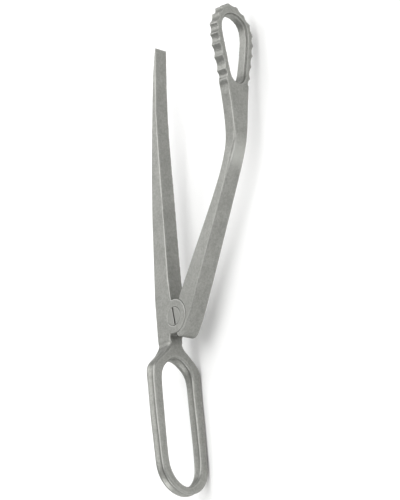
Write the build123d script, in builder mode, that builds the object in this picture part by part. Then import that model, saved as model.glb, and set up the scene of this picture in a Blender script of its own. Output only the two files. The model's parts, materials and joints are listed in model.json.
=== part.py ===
from build123d import *
import os
from math import cos, radians, sin, tan

# Two-armed metalworking tongs with one ring handle and a windowed, serrated jaw.
# Millimetres, +Z up. +X runs from the ring handle to the jaws, and the pivot axis is
# parallel to Z. The tongs lie on a bench: Z = 0 is the bench, under the middle of the
# tool's box. Outlines are given from the pivot axis, at the middle of the lap joint.

os.makedirs("parts", exist_ok=True)

# --- driving dimensions -------------------------------------------------------------
pivot_x = -47.56           # pivot axis, from the middle of the tool
pivot_y = 28.75
pivot_z = 24.94            # middle of the lap joint, above the bench

joint_height = 14.2        # height of both arms at the joint
boss_radius = 13.8         # half-height cheek of each arm
recess_gap = 0.3           # between a cheek and the recess round it
lap_gap = 0.16             # between the two cheeks

blade_tip_height = 11.4    # height of the handle arm's blade at its tip
blade_tip_top = 221.7      # the tip is cut a little aslant
blade_tip_bottom = 220.5
neck_top = 6.6             # top and bottom of the neck, from the middle of the arms
neck_bottom = 5.7
neck_end = -19.5           # where the boss's block stops, inside the neck
neck_front = 5.0           # the neck, beside the pivot axis
neck_back = 19.6
ring_depth = 9.8           # ring handle, across its plane
ring_turn = 5.1            # degrees that the ring's plane is turned from the blade
ring_centre_y = 14.6       # the ring's plane passes this far beside the pivot
ring_half_height = 24.9
finger_half_height = 16.1  # finger opening
ring_end = -144.0
finger_near = -32.3
finger_far = -137.4

loop_half_height = 18.3    # jaw loop
loop_tip = 238.8
window_start = 173.6
window_end = 229.0
window_half_height = 11.8
window_drop = 0.4          # the window's middle, below the middle of the loop
rebate_depth = 1.9         # step round the window, on the outer face
rebate_width = 1.5
sill_points = 18
tooth_depth = 1.4
tooth_land = 0.6           # width left on each tooth's tip
teeth_before = 176.0       # the jaw arm's plain long edges end before this X
boss_behind = -17.5        # behind the boss and tail, in X
# Tooth tips, along the rim from the loop's end, + up the upper side and - down the lower.
# The teeth are cut by hand, so they are uneven.
tooth_tips = [-78.7, -70.5, -60.1, -50.9, -41.9, -33.8, -24.0, -16.0, -7.6]
tooth_tips += [1.8, 9.5, 17.3, 27.2, 36.0, 44.8, 54.8, 65.8, 73.3]

head_radius = 7.4          # pivot screw
head_height = 3.2
head_gap = 0.12
slot_width = 1.3
slot_depth = 1.5
slot_turn = 11.0           # degrees from +X
shoulder_radius = 4.5
running_gap = 0.05
thread_radius = 4.0
washer_radius = 8.0
washer_bore_gap = 0.2
washer_height = 1.6
nut_across_flats = 13.0
nut_height = 4.0
screw_past_nut = 0.8
screw_end_chamfer = 0.6
into_head = 0.5            # the screw's shoulder and shank stop this far under its top

long_edge_round = 0.5      # softened long edges of the forgings
jaw_outer_round = 1.1
ring_front_bevel = 1.4
ring_back_round = 2.4
rim_length = 200.0         # each rim of the ring is longer than this, and no other edge is

# --- planes -------------------------------------------------------------------------
half = joint_height / 2
lap = Plane(origin=(pivot_x, pivot_y, pivot_z))
side = Plane(origin=lap.origin, x_dir=(1, 0, 0), z_dir=(0, -1, 0))
turn = radians(ring_turn)
grip = Plane(
    origin=(pivot_x, pivot_y + ring_centre_y, pivot_z),
    x_dir=(cos(turn), sin(turn), 0),
    z_dir=(sin(turn), -cos(turn), 0),
)
reach = 60.0               # further than any half width, for cuts right through
plan_reach = 20.0          # further than the jaw arm's half height


def mirrored(half_outline):
    """The points of a half outline above the X axis, then their mirror images."""
    return half_outline + [(x, -y) for x, y in reversed(half_outline) if y > 0]


def long_edges(faces, start, end):
    """The edges of these faces that run along an arm, between these two places in X."""
    found = ShapeList()
    for edge in faces.edges():
        places = [lap.to_local_coords(edge @ place).X for place in (0, 1)]
        if abs(places[0] - places[1]) > 5 and min(places) > start and max(places) < end:
            found.append(edge)
    return found


# --- handle arm: ring, neck, half-height boss and blade, forged in one ---------------
ring_top = [
    (-8.0, neck_top),
    (-18.0, neck_top),
    (-22.5, 7.7),
    (-27.0, 11.0),
    (-32.5, 16.8),
    (-39.5, 23.2),
    (-50.0, ring_half_height - 0.2),
    (-80.0, ring_half_height),
    (-112.0, ring_half_height - 0.8),
    (-127.5, 22.4),
    (-138.6, 14.8),
    (ring_end, 0),
]
ring_bottom = [(x, -z) for x, z in reversed(ring_top[5:-1])]
ring_bottom += [(-32.5, -17.6), (-27.0, -11.2), (-22.5, -6.9)]
ring_bottom += [(-18.0, -neck_bottom), (-8.0, -neck_bottom)]
finger_side = [
    (finger_near, 0),
    (-36.0, 8.7),
    (-42.5, 14.0),
    (-55.0, finger_half_height - 0.4),
    (-85.0, finger_half_height),
    (-113.0, finger_half_height),
    (-125.0, 14.4),
    (-134.0, 8.2),
    (finger_far, 0),
]
boss_front = [(-12.6, neck_front), (13.0, 2.6)]
blade_outer = [(blade_tip_top, 13.7), (200, 16.8), (163.5, 19.5), (105, 22.2), (50, 22.1), (18, 21.9)]
blade_inner = [(31, 5.4), (150, 13.3), (172, 14.2), (199, 13.6), (blade_tip_top, 12.9)]
# Seen from above: the deep neck narrows to the ring, which drifts sideways behind it.
drift = tan(turn)
ring_middle = [(x, ring_centre_y + x * drift) for x in (-55, -80, -115, -155)]
ring_front = [(-4, neck_front), (-20, neck_front), (-38, neck_front + 0.2)]
ring_front += [(x, y - ring_depth / 2) for x, y in ring_middle]
ring_back = [(-4, neck_back), (-20, neck_back), (-38, neck_back - 3.0)]
ring_back += [(x, y + ring_depth / 2) for x, y in ring_middle]

with BuildPart() as handle_arm:
    with BuildSketch(grip):
        with BuildLine():
            Spline(*ring_top, *ring_bottom)
            Line(ring_bottom[-1], ring_top[0])
        make_face()
    extrude(amount=reach, both=True)
    # Seen from above, the deep neck narrows to the ring.
    with BuildSketch(lap.offset(-reach)):
        with BuildLine():
            Spline(*ring_front)
            Line(ring_front[-1], ring_back[-1])
            Spline(*ring_back)
            Line(ring_back[0], ring_front[0])
        make_face()
    extrude(amount=2 * reach, mode=Mode.INTERSECT)
    with BuildSketch(grip):
        with BuildLine():
            Spline(*mirrored(finger_side), periodic=True)
        make_face()
    extrude(amount=reach, both=True, mode=Mode.SUBTRACT)

    # the ring's front rims are bevelled, and its back rims rounded
    rims = handle_arm.edges().filter_by(lambda edge: edge.length > rim_length)
    rims = rims.filter_by(lambda edge: abs(grip.to_local_coords(edge @ 0.5).Z) > ring_depth / 4)
    chamfer(rims.filter_by(lambda edge: grip.to_local_coords(edge @ 0.5).Z > 0), ring_front_bevel)
    rims = handle_arm.edges().filter_by(lambda edge: edge.length > rim_length)
    back_rims = rims.filter_by(lambda edge: grip.to_local_coords(edge @ 0.5).Z < 1 - ring_depth / 2)
    fillet(back_rims, ring_back_round)

    # blade, and the wall beside the boss
    with BuildSketch(lap.offset(-half)):
        with BuildLine():
            Polyline((neck_end, neck_back), (neck_end, neck_front), *boss_front, blade_inner[0])
            Polyline(*blade_inner, blade_outer[0])
            Spline(*blade_outer)
            Line(blade_outer[-1], (neck_end, neck_back))
        make_face()
    extrude(amount=joint_height)
    # The blade is lower towards its tip, above and below alike.
    with BuildSketch(side):
        with BuildLine():
            Polyline((20, half), (225, blade_tip_height / 2), (225, half + 1), (20, half + 1), close=True)
        make_face()
        mirror(about=Plane.XZ)
        with BuildLine():
            Polyline((blade_tip_top, half), (blade_tip_bottom, -half), (225, -half), (225, half), close=True)
        make_face()
    extrude(amount=reach, both=True, mode=Mode.SUBTRACT)
    # bevelled steps from the boss to the neck, above and below
    with BuildSketch(side):
        with BuildLine():
            Polyline((-16.5, half), (-20, neck_top), (-20, half + 1), (-16.5, half + 1), close=True)
        make_face()
        with BuildLine():
            Polyline((-12, -half), (-15, -neck_bottom), (-20, -neck_bottom))
            Polyline((-20, -neck_bottom), (-20, -half - 1), (-12, -half - 1), (-12, -half))
        make_face()
    extrude(amount=reach, both=True, mode=Mode.SUBTRACT)

    outside = handle_arm.faces().filter_by(lambda face: face.normal_at().Y > 0.9)
    fillet(long_edges(outside, boss_behind, blade_outer[0][0] + 1), long_edge_round)

    # lap joint: the lower half is cut away for the jaw arm's cheek
    with BuildSketch(lap.offset(-half - 1)):
        Circle(boss_radius + recess_gap)
    extrude(amount=half + 1 + lap_gap / 2, mode=Mode.SUBTRACT)
    with BuildSketch(lap.offset(lap_gap / 2)):
        Circle(boss_radius)
    extrude(amount=half - lap_gap / 2)
    # seat and bore for the pivot screw
    with BuildSketch(lap):
        Circle(shoulder_radius + running_gap)
    extrude(amount=reach, mode=Mode.SUBTRACT)
    with BuildSketch(lap.offset(half - head_height - head_gap)):
        Circle(head_radius + head_gap)
    extrude(amount=reach, mode=Mode.SUBTRACT)
handle_arm.part.label = "handle_arm"
export_step(handle_arm.part, "parts/handle_arm.step")

# --- jaw arm: tail, half-height cheek, bent shank and windowed serrated loop ---------
jaw_side = [
    (118, 5.85),
    (126, 5.95),
    (140, 7.1),
    (158, 9.1),
    (175, 11.8),
    (192, 15.4),
    (203, 17.5),
    (212.5, loop_half_height),
    (222, 17.1),
    (230.5, 12.2),
    (236, 7.4),
    (loop_tip, 0),
]
window_side = [
    (window_start, 0),
    (176.0, 4.5),
    (184.0, 7.4),
    (203.0, 10.7),
    (215.0, window_half_height),
    (223.5, 9.6),
    (window_end, 0),
]
window_outline = [(x, z - window_drop) for x, z in mirrored(window_side)]
# outer face: X, Y at mid height, and its lean, in mm of Y for each mm of height
outer_face = [
    (241, -69.9, 0),
    (222, -74.8, 0),
    (206, -76.8, 0),
    (173, -78.2, 0),
    (142, -79.5, 0.04),
    (126, -78.6, 0.12),
    (112, -73.5, 0.24),
    (97.6, -66.9, 0.26),
]
outer_tail = [(97.6, -66.9, 0.26), (9.5, -25.7, 0.15), (-5, -18.6, 0.19), (-13.0, -13.5, 0.17)]
tail_end = [(-13.0, -13.5, 0.17), (-16.4, -10.2, 0.08)]
tail_end += [(-17.6, -6.6, 0), (-16.6, -4.0, 0), (-14.0, -3.4, 0)]
throat = (13.5, -6.4)      # where the jaw arm's inner face leaves the boss
inner_face = [
    (83.3, -48.3),
    (94.5, -54.3),
    (108, -60.8),
    (126, -66.6),
    (142, -68.1),
    (173, -67.7),
    (206, -67.2),
    (222, -65.6),
    (241, -60.9),
]


def leaning(points, height):
    """These points of a leaning face, in plan, at a height above the lap joint."""
    return [(x, y + lean * height) for x, y, lean in points]


# step round the window, cut to an even depth below the loop's outer face
with BuildPart() as rebate:
    with BuildSketch(side):
        with BuildLine():
            sill = Spline(*window_outline, periodic=True, mode=Mode.PRIVATE)
            step_edge = []
            for share in range(sill_points):
                heading = sill.tangent_at(share / sill_points)
                outward = Vector(-heading.Y, heading.X) * rebate_width
                step_edge.append(sill.position_at(share / sill_points) + outward)
            Spline(*step_edge, periodic=True)
        make_face()
    extrude(amount=2 * reach)
    with BuildSketch(lap.offset(-reach)):
        with BuildLine():
            Spline(*[(x, y + rebate_depth) for x, y in leaning(outer_face, 0)])
            Polyline(
                (outer_face[-1][0], outer_face[-1][1] + rebate_depth),
                (outer_face[-1][0], -2 * reach),
                (outer_face[0][0], -2 * reach),
                (outer_face[0][0], outer_face[0][1] + rebate_depth),
            )
        make_face()
    extrude(amount=2 * reach, mode=Mode.INTERSECT)

# plan view, ruled between two levels, as the outer face leans
with BuildPart() as jaw_plan:
    for level in (-plan_reach, plan_reach):
        with BuildSketch(lap.offset(level)):
            with BuildLine():
                Polyline((0, -6), throat, inner_face[0])
                Spline(*inner_face)
                outer = leaning(outer_face, level)
                Line(inner_face[-1], outer[0])
                Spline(*outer)
                Polyline(*leaning(outer_tail, level))
                Spline(*leaning(tail_end, level))
                Line(tail_end[-1][:2], (0, -6))
            make_face()
    loft(ruled=True)

with BuildPart() as jaw_arm:
    # side view: an even taper to the bend, then the loop spreads round its window
    with BuildSketch(side):
        with BuildLine():
            rim = Spline(*mirrored(jaw_side))
            Polyline(
                (jaw_side[0][0], -jaw_side[0][1]),
                (24, -half),
                (-30, -half),
                (-30, half),
                (24, half),
                jaw_side[0],
            )
        make_face()
        with BuildLine():
            Spline(*window_outline, periodic=True)
        make_face(mode=Mode.SUBTRACT)
        # serrated rim: a round groove between each two teeth
        for tip, other_tip in zip(tooth_tips, tooth_tips[1:]):
            along = rim.length / 2 - (tip + other_tip) / 2
            spot = rim.position_at(along, position_mode=PositionMode.LENGTH)
            heading = rim.tangent_at(along, position_mode=PositionMode.LENGTH)
            outward = Vector(-heading.Y, heading.X)
            half_chord = (other_tip - tip - tooth_land) / 2
            groove_radius = (half_chord**2 + tooth_depth**2) / (2 * tooth_depth)
            with Locations(spot + outward * (groove_radius - tooth_depth)):
                Circle(groove_radius, mode=Mode.SUBTRACT)
    extrude(amount=2 * reach)
    add(jaw_plan.part, mode=Mode.INTERSECT)
    # long edges: rounded outside up to the first tooth, and less inside, up to the loop
    outside = jaw_arm.faces().filter_by(lambda face: face.normal_at().Y < -0.5)
    fillet(long_edges(outside, boss_behind, teeth_before), jaw_outer_round)
    inside = jaw_arm.faces().filter_by(lambda face: face.normal_at().Y > 0.4)
    fillet(long_edges(inside, throat[0] - 0.5, jaw_side[0][0] + 1), long_edge_round)
    add(rebate.part, mode=Mode.SUBTRACT)

    # lap joint: the upper half is cut away for the handle arm's boss
    with BuildSketch(lap.offset(-lap_gap / 2)):
        Circle(boss_radius + recess_gap)
    extrude(amount=reach, mode=Mode.SUBTRACT)
    with BuildSketch(lap.offset(-half)):
        Circle(boss_radius)
    extrude(amount=half - lap_gap / 2)
    with BuildSketch(lap.offset(-reach)):
        Circle(thread_radius)
    extrude(amount=2 * reach, mode=Mode.SUBTRACT)
jaw_arm.part.label = "jaw_arm"
export_step(jaw_arm.part, "parts/jaw_arm.step")

# --- pivot screw: flush slotted head, plain shoulder, threaded end -------------------
shoulder_end = -lap_gap / 2
screw_end = -half - washer_height - nut_height - screw_past_nut
with BuildPart() as pivot_screw:
    with BuildSketch(lap.offset(half - head_height)):
        Circle(head_radius)
    extrude(amount=head_height)
    with BuildSketch(lap.offset(shoulder_end)):
        Circle(shoulder_radius)
    extrude(amount=half - shoulder_end - into_head)
    with BuildSketch(lap.offset(screw_end)):
        Circle(thread_radius)
    extrude(amount=half - screw_end - into_head)
    chamfer(pivot_screw.edges().sort_by(Axis.Z)[0], length=screw_end_chamfer)
    with BuildSketch(lap.offset(half - slot_depth)):
        Rectangle(3 * head_radius, slot_width, rotation=slot_turn)
    extrude(amount=slot_depth + 1, mode=Mode.SUBTRACT)
pivot_screw.part.label = "pivot_screw"
export_step(pivot_screw.part, "parts/pivot_screw.step")

# --- washer and nut under the jaw arm's cheek ----------------------------------------
with BuildPart() as pivot_washer:
    with BuildSketch(lap.offset(-half - washer_height)):
        Circle(washer_radius)
        Circle(thread_radius + washer_bore_gap, mode=Mode.SUBTRACT)
    extrude(amount=washer_height)
pivot_washer.part.label = "pivot_washer"
export_step(pivot_washer.part, "parts/pivot_washer.step")

with BuildPart() as pivot_nut:
    with BuildSketch(lap.offset(-half - washer_height - nut_height)):
        RegularPolygon(nut_across_flats / 2, 6, major_radius=False, rotation=slot_turn)
        Circle(thread_radius, mode=Mode.SUBTRACT)
    extrude(amount=nut_height)
pivot_nut.part.label = "pivot_nut"
export_step(pivot_nut.part, "parts/pivot_nut.step")
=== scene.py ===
import json
import math

import bpy
import numpy as np
from mathutils import Matrix, Vector


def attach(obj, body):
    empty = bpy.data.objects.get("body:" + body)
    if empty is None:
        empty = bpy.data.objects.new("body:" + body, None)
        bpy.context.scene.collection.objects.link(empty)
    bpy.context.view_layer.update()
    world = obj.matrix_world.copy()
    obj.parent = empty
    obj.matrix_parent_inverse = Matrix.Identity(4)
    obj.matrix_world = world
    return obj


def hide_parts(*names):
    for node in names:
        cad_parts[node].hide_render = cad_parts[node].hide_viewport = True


# The looks of the steel tongs: softened, fluted and blasted skins for the two forged arms,
# finer skins for the pivot screw, washer and nut, then floor, light and camera.
# Metres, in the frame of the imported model.

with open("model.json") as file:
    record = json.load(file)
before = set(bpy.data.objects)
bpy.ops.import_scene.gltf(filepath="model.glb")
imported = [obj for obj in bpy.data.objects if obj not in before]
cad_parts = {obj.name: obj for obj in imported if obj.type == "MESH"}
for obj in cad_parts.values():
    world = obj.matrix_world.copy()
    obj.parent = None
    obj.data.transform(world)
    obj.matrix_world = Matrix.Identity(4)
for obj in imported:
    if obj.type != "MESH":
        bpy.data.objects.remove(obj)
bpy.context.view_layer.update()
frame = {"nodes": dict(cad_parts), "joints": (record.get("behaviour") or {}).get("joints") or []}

MM = 0.001
hinge = Vector(frame["joints"][0]["pos_m"])     # pivot axis at the middle of the lap joint


# --- meshes ---------------------------------------------------------------------------
def apply_modifiers(ob):
    """Puts the modified mesh in place of ob's own."""
    graph = bpy.context.evaluated_depsgraph_get()
    made = bpy.data.meshes.new_from_object(ob.evaluated_get(graph), depsgraph=graph)
    ob.modifiers.clear()
    ob.data = made


def skin(node, name, voxel):
    """A new object with the CAD node's shape, remeshed evenly and with softened edges."""
    mesh = frame["nodes"][node].data.copy()
    ob = bpy.data.objects.new(name, mesh)
    bpy.context.scene.collection.objects.link(ob)
    remesh = ob.modifiers.new("even", "REMESH")
    remesh.mode = "VOXEL"
    remesh.voxel_size = voxel
    remesh.adaptivity = 0
    apply_modifiers(ob)
    soften = ob.modifiers.new("soften", "SMOOTH")
    soften.factor = 0.5
    soften.iterations = 1
    apply_modifiers(ob)
    ob.data.materials.clear()
    ob.data.name = name
    ob.data.polygons.foreach_set("use_smooth", [True] * len(ob.data.polygons))
    return ob


def points(ob):
    co = np.empty(len(ob.data.vertices) * 3, np.float32)
    ob.data.vertices.foreach_get("co", co)
    return co.reshape(-1, 3).astype(float)


def normals(ob):
    no = np.empty(len(ob.data.vertices) * 3, np.float32)
    ob.data.vertex_normals.foreach_get("vector", no)
    return no.reshape(-1, 3).astype(float)


def move_points(ob, co):
    ob.data.vertices.foreach_set("co", co.astype(np.float32).ravel())
    ob.data.update()


def ramp(x, a, b):
    """0 at a, 1 at b, smooth between."""
    t = np.clip((x - a) / (b - a), 0, 1)
    return t * t * (3 - 2 * t)


def bump(x, a, peak, b):
    """0 outside a..b, 1 at peak."""
    return ramp(x, a, peak) * ramp(x, b, peak)


def averaged(ob, values, rounds):
    """The values, each blended with its neighbours' along the mesh's edges."""
    edge = np.empty(len(ob.data.edges) * 2, np.int32)
    ob.data.edges.foreach_get("vertices", edge)
    a, b = edge.reshape(-1, 2).T
    count = len(ob.data.vertices)
    degree = np.bincount(a, minlength=count) + np.bincount(b, minlength=count)
    values = values.copy()
    for _ in range(rounds):
        for k in range(values.shape[1]):
            total = np.bincount(a, values[b, k], count) + np.bincount(b, values[a, k], count)
            values[:, k] = 0.5 * values[:, k] + 0.5 * total / np.maximum(degree, 1)
    return values


def store(ob, name, values):
    """Keeps one number per point, for the materials to read."""
    layer = ob.data.attributes.new(name, "FLOAT", "POINT")
    layer.data.foreach_set("value", values.astype(np.float32))


def mark_wear_and_shade(ob, scale, rounds):
    """Stores how far each point stands proud of, or lies below, its surroundings: -1 to 1, for
    edge wear and painted shade in hollows.
    """
    co, no = points(ob), normals(ob)
    proud = ((co - averaged(ob, co, rounds)) * no).sum(1) / scale
    store(ob, "wear_and_shade", averaged(ob, np.clip(proud, -1, 1)[:, None], 2)[:, 0])


# The arms' own shapes below are laid out with X, Y and Z counted from the hinge. Their voxels
# are as small as 200,000 triangles a piece allow.

# --- the handle arm: a fuller neck, and flutes round the ring's outer and inner walls -----
GRIP_TURN = math.radians(5.1)  # the ring's plane is turned this far about Z from +X
GRIP_Y = 14.6 * MM             # Y of the ring's middle plane where it passes the pivot
RING_DEPTH = 9.8 * MM          # the ring's thickness, front to back
NECK_FRONT = 5.1 * MM          # the neck's front face
FLUTE_DEPTH = 1.6 * MM
DIP_DEPTH = 0.33               # how far the CAD neck dips behind the cheek, in mm
BACK_FILL = 0.9                # added to the neck's upper back edge, in mm


def grip_frame(co):
    """How far along the ring each point lies, and how deep behind its front face."""
    local = co - np.array(hinge)
    c, s = math.cos(GRIP_TURN), math.sin(GRIP_TURN)
    along = local[:, 0] * c + (local[:, 1] - GRIP_Y) * s
    ring_front = GRIP_Y + local[:, 0] * math.tan(GRIP_TURN) - RING_DEPTH / 2
    front = NECK_FRONT + (ring_front - NECK_FRONT) * ramp(local[:, 0], -46 * MM, -58 * MM)
    return along, local[:, 1] - front


def flute_ring(ob):
    """A shallow flute round the ring's outer and inner walls, from the neck's front corner."""
    co, no = points(ob), normals(ob)
    along, depth = grip_frame(co)
    across = np.abs(-no[:, 0] * math.sin(GRIP_TURN) + no[:, 1] * math.cos(GRIP_TURN))
    wall = ramp(across, 0.75, 0.45)
    on_ring = ramp(along, -23.5 * MM, -31 * MM)
    share = bump(depth, 1.3 * MM, 3.4 * MM, 8.4 * MM) * wall * on_ring
    move_points(ob, co - no * (share * FLUTE_DEPTH)[:, None])


def fill_neck(ob):
    """Fills the dip behind the cheek, and the neck's upper back edge up to the ring."""
    co, no = points(ob), normals(ob)
    x, _, z = (co - np.array(hinge)).T / MM
    upper = ramp(no[:, 2], 0.1, 0.5) * (z > 3)
    dip = DIP_DEPTH * bump(x, -15.5, -19, -21.5) * ramp(no[:, 2], 0.5, 0.9) * (z > 3)
    back = BACK_FILL * bump(x, -17, -23.5, -32) * ramp(no[:, 1], 0, 0.4) * upper
    co = co + no * ((dip + back) * MM)[:, None]
    blend = bump(x, -15, -21.5, -28) * upper
    move_points(ob, co + blend[:, None] * (averaged(ob, co, 18) - co))


handle = skin("handle_arm", "Handle_arm_forging", 0.5 * MM)
fill_neck(handle)
flute_ring(handle)


# --- the jaw arm: file cuts on the loop's rim, a bend dressed by hand and a painted highlight there ---
LOOP_MIDDLE = 205 * MM         # X of the loop's middle
CUT_DEPTH = 0.1 * MM
CUT_PITCH = 8.7 * MM
HOLLOW_DEPTH = 0.6 * MM        # shallow last groove, next to the plain shank
BEVEL_WIDTH = 2.0              # widest part of the bevel at the bend, in mm


def cut_rim(ob):
    """Crossed file cuts over the loop's serrated outer wall, and a shallow last groove."""
    co, no = points(ob), normals(ob)
    x, y, z = (co - np.array(hinge)).T
    outward = no[:, 0] * (x - LOOP_MIDDLE) + no[:, 2] * z > 0
    wall = ramp(np.abs(no[:, 1]), 0.6, 0.35) * outward
    round_rim = x + np.abs(z)
    wave = 2 * math.pi / CUT_PITCH
    cuts = [(0.5 + 0.5 * np.cos((round_rim + side * y) * wave)) ** 5 for side in (1, -1)]
    depth = CUT_DEPTH * np.maximum(*cuts) * ramp(x, 176 * MM, 180 * MM)
    depth += HOLLOW_DEPTH * bump(x, 162 * MM, 170.5 * MM, 173.5 * MM)
    move_points(ob, co - no * (wall * depth)[:, None])


def bevel_bend_and_paint_highlight(ob):
    """A wide bevel on the upper outer edge at the bend, and a painted highlight on the outer face
    there.
    """
    co, no = points(ob), normals(ob)
    x, y, z = (co - np.array(hinge)).T / MM
    # the CAD's upper face and its leaning outer face, as Z and Y along X
    top = np.interp(x, (24, 118, 126, 140, 158), (7.1, 5.85, 5.95, 7.1, 9.1))
    face = np.interp(x, (60, 97.6, 112, 126, 142, 173), (-49.2, -66.9, -73.5, -78.6, -79.5, -78.2))
    face += np.interp(x, (60, 97.6, 112, 126, 142), (0.21, 0.26, 0.24, 0.12, 0.04)) * z
    inside = np.abs(top - z) + np.abs(y - face)
    width = BEVEL_WIDTH * bump(x, 76, 118, 150)
    outer = (z > 0) & (y < face + 6) & (x > 60) & (x < 160)
    push = np.where(outer, np.maximum(width - inside, 0), 0) / 2
    cut = co + push[:, None] * np.array((0, 1, -1)) * MM
    near = outer * ramp(inside, 5, 3) * (width > 0)
    cut += near[:, None] * (averaged(ob, cut, 4) - cut)
    move_points(ob, cut)
    # painted highlight: the bend's outer face, where it faces the front, is stored to be lightened
    # in colour
    painted_bend_highlight = bump(x, 98, 114.5, 134) * ramp(-no[:, 1], 0.5, 0.8)
    store(ob, "painted_bend_highlight", painted_bend_highlight)


jaw = skin("jaw_arm", "Jaw_arm_forging", 0.45 * MM)
cut_rim(jaw)
bevel_bend_and_paint_highlight(jaw)
screw = skin("pivot_screw", "Pivot_screw_slotted", 0.22 * MM)
washer = skin("pivot_washer", "Pivot_washer_flat", 0.22 * MM)
nut = skin("pivot_nut", "Pivot_nut_hex", 0.2 * MM)
for arm in (handle, jaw):
    mark_wear_and_shade(arm, 0.22 * MM, 14)
for part in (screw, washer, nut):
    mark_wear_and_shade(part, 0.08 * MM, 10)      # their voxels are finer, so their edges stand out less


# --- materials --------------------------------------------------------------------------
class Tree:
    """Makes shader nodes and links in one material."""

    def __init__(self, name):
        self.material = bpy.data.materials.new(name)
        self.material.use_nodes = True
        self.nodes = self.material.node_tree.nodes
        self.links = self.material.node_tree.links
        self.shader = self.nodes["Principled BSDF"]

    def put(self, socket, value):
        if isinstance(value, bpy.types.NodeSocket):
            self.links.new(value, socket)
        else:
            socket.default_value = value

    def where(self, scale=(1, 1, 1), turn=0.0):
        """Object coordinates, stretched by scale after a turn about Z."""
        place = self.nodes.new("ShaderNodeTexCoord").outputs["Object"]
        mapping = self.nodes.new("ShaderNodeMapping")
        mapping.vector_type = "TEXTURE"
        mapping.inputs["Rotation"].default_value = (0, 0, turn)
        mapping.inputs["Scale"].default_value = scale
        self.links.new(place, mapping.inputs["Vector"])
        return mapping.outputs["Vector"]

    def noise(self, where, size, detail=2.0, rough=0.5):
        n = self.nodes.new("ShaderNodeTexNoise")
        self.links.new(where, n.inputs["Vector"])
        n.inputs["Scale"].default_value = 1 / size
        n.inputs["Detail"].default_value = detail
        n.inputs["Roughness"].default_value = rough
        return n.outputs["Fac"]

    def remap(self, value, a, b, c, d):
        n = self.nodes.new("ShaderNodeMapRange")
        for socket, v in zip(n.inputs, (value, a, b, c, d)):
            self.put(socket, v)
        return n.outputs["Result"]

    def math(self, kind, a, b=0.0, c=0.0):
        n = self.nodes.new("ShaderNodeMath")
        n.operation = kind
        for socket, v in zip(n.inputs, (a, b, c)):
            self.put(socket, v)
        return n.outputs["Value"]

    def vector(self, kind, a, b=None):
        n = self.nodes.new("ShaderNodeVectorMath")
        n.operation = kind
        self.put(n.inputs[0], a)
        if b is not None:
            self.put(n.inputs[1], b)
        return n.outputs["Value" if kind == "LENGTH" else "Vector"]

    def mix(self, factor, a, b):
        n = self.nodes.new("ShaderNodeMix")
        n.data_type = "RGBA"
        colours = [s for s in n.inputs if s.type == "RGBA"]
        self.put(n.inputs[0], factor)
        self.put(colours[0], a)
        self.put(colours[1], b)
        return [s for s in n.outputs if s.type == "RGBA"][0]

    def attribute(self, name):
        n = self.nodes.new("ShaderNodeAttribute")
        n.attribute_name = name
        return n.outputs["Fac"]

    def height(self, strength, distance, height, normal=None):
        n = self.nodes.new("ShaderNodeBump")
        n.inputs["Strength"].default_value = strength
        n.inputs["Distance"].default_value = distance
        self.put(n.inputs["Height"], height)
        if normal is not None:
            self.put(n.inputs["Normal"], normal)
        return n.outputs["Normal"]


RUBBED_EDGE = (0.50, 0.505, 0.48, 1)
# painted highlight colour for the bend's outer face
BEND_HIGHLIGHT_PAINT = (0.47, 0.475, 0.45, 1)
# painted shade colours, for hollows and seams
HOLLOW_SHADE_PAINT = (0.13, 0.13, 0.12, 1)
SEAM_SHADE_PAINT = (0.1, 0.1, 0.095, 1)


def forged_steel(name, dark, light, lay):
    """Blasted steel: fine grain, soft blotches, faint dressing marks along the arm, edges rubbed
    brighter and smoother, painted shade in hollows and a painted highlight at the bend. lay is the
    arm's direction, radians from +X."""
    t = Tree(name)
    place = t.where()
    grain = t.noise(place, 0.9 * MM, 3.0, 0.65)
    fine = t.noise(place, 0.35 * MM, 2.0, 0.6)
    blotch = t.noise(place, 14 * MM, 3.0, 0.55)
    marks = t.noise(t.where((12, 1, 1), lay), 0.55 * MM, 2.0, 0.5)
    speck = t.noise(place, 2.0 * MM, 2.0, 0.6)
    tone = t.math("MULTIPLY_ADD", grain, 0.3, t.math("MULTIPLY", blotch, 0.25))
    tone = t.math("MULTIPLY_ADD", speck, 0.3, t.math("MULTIPLY_ADD", marks, 0.15, tone))
    colour = t.mix(t.remap(tone, 0.4, 0.6, 0, 1), dark, light)
    wear_and_shade = t.attribute("wear_and_shade")
    colour = t.mix(t.remap(wear_and_shade, 0.15, 0.9, 0, 0.25), colour, RUBBED_EDGE)
    # painted shade: hollows and creases darkened in colour
    colour = t.mix(t.remap(wear_and_shade, -0.1, -0.9, 0, 0.5), colour, HOLLOW_SHADE_PAINT)
    # painted highlight: the bend's outer face lightened in colour
    colour = t.mix(t.math("MULTIPLY", t.attribute("painted_bend_highlight"), 0.6), colour, BEND_HIGHLIGHT_PAINT)
    t.put(t.shader.inputs["Base Color"], colour)
    t.shader.inputs["Metallic"].default_value = 0.85
    uneven = t.math("MULTIPLY_ADD", fine, 0.5, t.math("MULTIPLY", grain, 0.5))
    rough = t.remap(uneven, 0.3, 0.7, 0.38, 0.52)
    rough = t.math("SUBTRACT", rough, t.remap(wear_and_shade, 0.1, 0.8, 0, 0.1))
    t.put(t.shader.inputs["Roughness"], rough)
    relief = t.math("MULTIPLY_ADD", fine, 0.5, grain)
    normal = t.height(0.5, 0.14 * MM, relief)
    normal = t.height(0.25, 0.05 * MM, marks, normal)
    t.put(t.shader.inputs["Normal"], normal)
    return t.material


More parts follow.
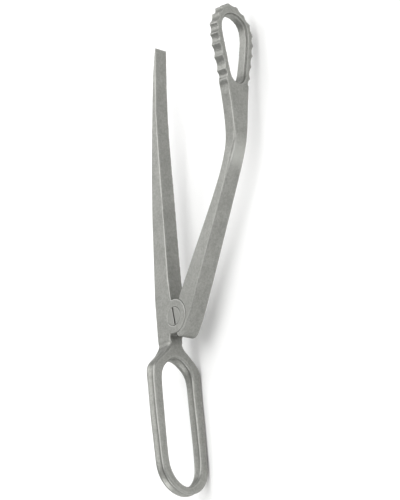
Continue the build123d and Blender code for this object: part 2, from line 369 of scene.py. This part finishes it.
def turned_steel(name, dark, light, centre):
    """Lathe-turned steel: fine rings round the pivot axis, grain, rubbed edges and painted shade
    in hollows.
    """
    t = Tree(name)
    place = t.where()
    offset = t.vector("SUBTRACT", place, (centre.x, centre.y, 0))
    radius = t.vector("LENGTH", t.vector("MULTIPLY", offset, (1, 1, 0)))
    rings = t.nodes.new("ShaderNodeTexNoise")
    rings.noise_dimensions = "1D"
    t.put(rings.inputs["W"], radius)
    rings.inputs["Scale"].default_value = 1 / (0.35 * MM)
    rings.inputs["Detail"].default_value = 2.0
    grain = t.noise(place, 0.8 * MM, 3.0, 0.6)
    tone = t.math("MULTIPLY_ADD", rings.outputs["Fac"], 0.4, t.math("MULTIPLY", grain, 0.6))
    colour = t.mix(t.remap(tone, 0.36, 0.64, 0, 1), dark, light)
    wear_and_shade = t.attribute("wear_and_shade")
    colour = t.mix(t.remap(wear_and_shade, 0.2, 0.9, 0, 0.2), colour, RUBBED_EDGE)
    # painted shade: hollows and seams darkened in colour
    colour = t.mix(t.remap(wear_and_shade, -0.15, -0.8, 0, 0.7), colour, SEAM_SHADE_PAINT)
    t.put(t.shader.inputs["Base Color"], colour)
    t.shader.inputs["Metallic"].default_value = 0.9
    t.put(t.shader.inputs["Roughness"], t.remap(tone, 0.3, 0.7, 0.4, 0.54))
    normal = t.height(0.3, 0.04 * MM, rings.outputs["Fac"])
    t.put(t.shader.inputs["Normal"], t.height(0.3, 0.08 * MM, grain, normal))
    return t.material


# the darkest and lightest base colours of each steel's grain
DARK = (0.213, 0.215, 0.201, 1)
LIGHT = (0.309, 0.311, 0.292, 1)
SCREW_DARK = (0.24, 0.242, 0.228, 1)
SCREW_LIGHT = (0.305, 0.307, 0.289, 1)
# each arm's direction, which its dressing marks follow
HANDLE_LAY = math.radians(-2)
JAW_LAY = math.radians(-25)


def finish(ob, material, body, node):
    """Gives ob its steel, sets it on its body and puts it in place of the CAD node."""
    ob.data.materials.append(material)
    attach(ob, body)
    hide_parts(node)


blade_steel = forged_steel("Forged_steel_handle_arm", DARK, LIGHT, HANDLE_LAY)
jaw_steel = forged_steel("Forged_steel_jaw_arm", DARK, LIGHT, JAW_LAY)
screw_steel = turned_steel("Turned_steel_screw", SCREW_DARK, SCREW_LIGHT, hinge)
washer_steel = turned_steel("Turned_steel_washer", DARK, LIGHT, hinge)
nut_steel = turned_steel("Turned_steel_nut", DARK, LIGHT, hinge)
finish(handle, blade_steel, "handle", "handle_arm")
finish(jaw, jaw_steel, "jaw", "jaw_arm")
finish(screw, screw_steel, "jaw", "pivot_screw")
finish(washer, washer_steel, "jaw", "pivot_washer")
finish(nut, nut_steel, "jaw", "pivot_nut")


# --- floor, light and camera --------------------------------------------------------------
def floor(half):
    """A pale square floor, reaching half metres to each side."""
    mesh = bpy.data.meshes.new("Floor")
    corners = [(-half, -half, 0), (half, -half, 0), (half, half, 0), (-half, half, 0)]
    mesh.from_pydata(corners, [], [(0, 1, 2, 3)])
    ob = bpy.data.objects.new("Floor", mesh)
    bpy.context.scene.collection.objects.link(ob)
    t = Tree("Pale_floor")
    t.shader.inputs["Base Color"].default_value = (0.93, 0.93, 0.925, 1)
    t.shader.inputs["Roughness"].default_value = 0.9
    t.shader.inputs["Specular IOR Level"].default_value = 0.1
    mesh.materials.append(t.material)


def area_light(name, place, size, power):
    """A round light at this place, turned to the tool."""
    data = bpy.data.lights.new(name, "AREA")
    data.shape = "DISK"
    data.size = size
    data.energy = power
    ob = bpy.data.objects.new(name, data)
    bpy.context.scene.collection.objects.link(ob)
    ob.location = place
    ob.rotation_mode = "QUATERNION"
    ob.rotation_quaternion = Vector(place).to_track_quat("Z", "Y")
    ob.visible_camera = False


FLOOR_HALF = 8.0
WORLD_STRENGTH = 0.55
floor(FLOOR_HALF)
world = bpy.data.worlds.new("Studio")
bpy.context.scene.world = world
world.use_nodes = True
world.node_tree.nodes["Background"].inputs["Color"].default_value = (1, 1, 1, 1)
world.node_tree.nodes["Background"].inputs["Strength"].default_value = WORLD_STRENGTH
area_light("Key", (0.5, -0.42, 1.5), 1.8, 17)
area_light("Back", (0.75, 0.9, 1.1), 1.0, 6.5)
area_light("Low_front", (-0.1, -1.0, 0.3), 0.25, 0.8)
area_light("Ring_side", (-1.15, -0.1, 0.65), 0.8, 6.5)

# The camera looks at the middle of the tool from the front, a little from the ring's end,
# 39.5 degrees above the floor, and is rolled so that the blade stands nearly upright.
ELEVATION = math.radians(39.5)
AZIMUTH = math.radians(19.8)
ROLL = math.radians(79.0)
DISTANCE = 10.85
LENS = 1000                    # long, so that the view is nearly parallel
aim = hinge + Vector((48.9, -25.8, 0)) * MM
level = Vector((math.cos(AZIMUTH), -math.sin(AZIMUTH), 0))
towards = Vector((-math.sin(AZIMUTH), -math.cos(AZIMUTH), 0))
back = towards * math.cos(ELEVATION) + Vector((0, 0, math.sin(ELEVATION)))
upright = back.cross(level)
right = level * math.cos(ROLL) - upright * math.sin(ROLL)
up = level * math.sin(ROLL) + upright * math.cos(ROLL)
cam = bpy.data.cameras.new("Camera")
cam.sensor_width = 36
cam.lens = LENS
cam.clip_start, cam.clip_end = 0.01, 50
camera = bpy.data.objects.new("Camera", cam)
bpy.context.scene.collection.objects.link(camera)
facing = Matrix((right, up, back)).transposed().to_4x4()
camera.matrix_world = Matrix.Translation(aim + back * DISTANCE) @ facing
bpy.context.scene.camera = camera
bpy.context.scene.view_settings.view_transform = "Standard"
